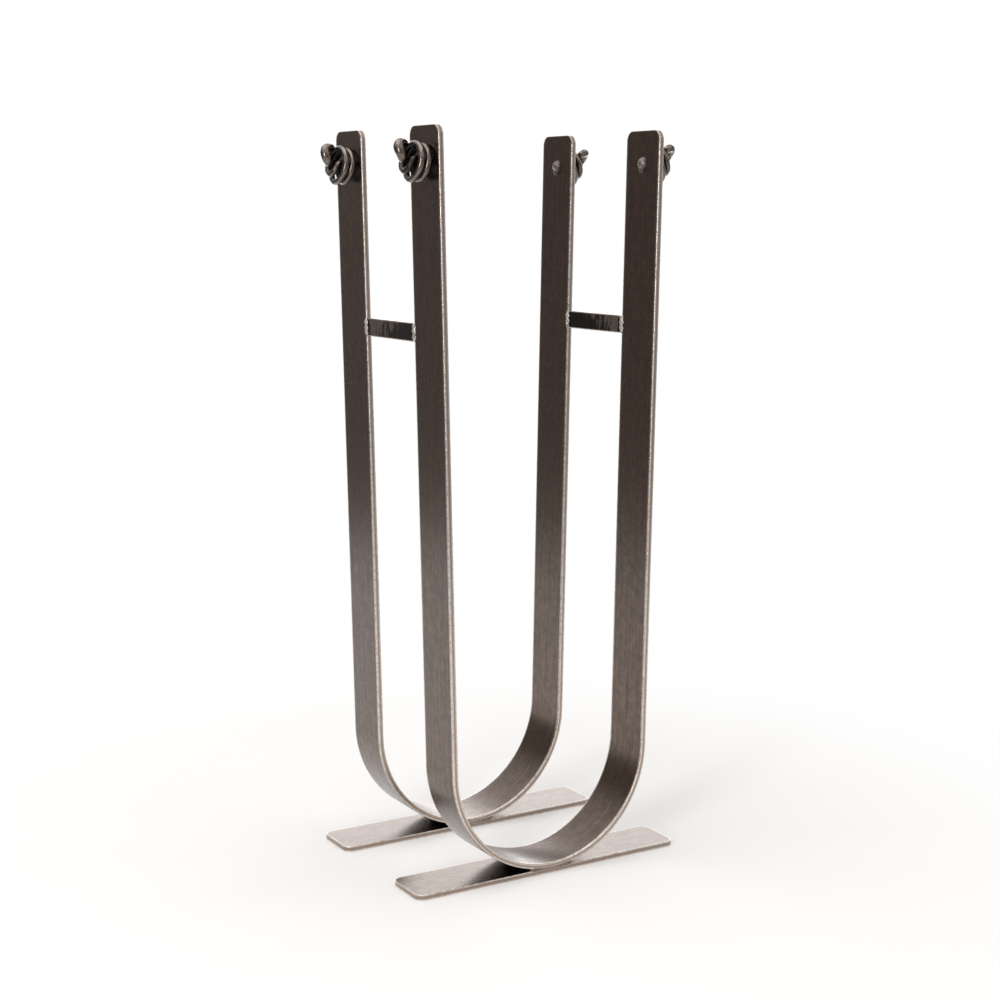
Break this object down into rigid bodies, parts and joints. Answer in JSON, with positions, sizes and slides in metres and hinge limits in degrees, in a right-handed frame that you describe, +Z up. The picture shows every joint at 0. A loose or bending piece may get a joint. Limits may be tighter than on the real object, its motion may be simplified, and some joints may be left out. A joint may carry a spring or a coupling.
{
  "type": "log holder",
  "caption": "Free-standing hearth log holder of bent flat steel bar: tall splayed hoops on flat feet, tied by cross bars, with knotted steel rods riveted through the uprights.",
  "frame": {"origin": "on the floor, midway between the undersides of the two feet", "axes": "+Z up, X across the hoops, -Y towards the front hoop"},
  "size_m": [0.3527, 0.232, 0.81],
  "materials": {
    "flat_bar": "waxed dark mill finish, satin",
    "cross_bar": "waxed dark mill finish with heat marks",
    "rod": "forged dark steel, half gloss",
    "weld": "bare rippled weld metal"
  },
  "bodies": {
    "root": {"front_hoop": "flat_bar", "rear_hoop": "flat_bar", "front_foot": "flat_bar", "rear_foot": "flat_bar", "left_cross_bar": "cross_bar", "right_cross_bar": "cross_bar", "knot_front_left": "rod", "knot_front_right": "rod", "knot_rear_left": "rod", "knot_rear_right": "rod", "front_foot_welds": "weld", "rear_foot_welds": "weld", "left_cross_bar_welds": "weld", "right_cross_bar_welds": "weld"}
  },
  "joints": []
}
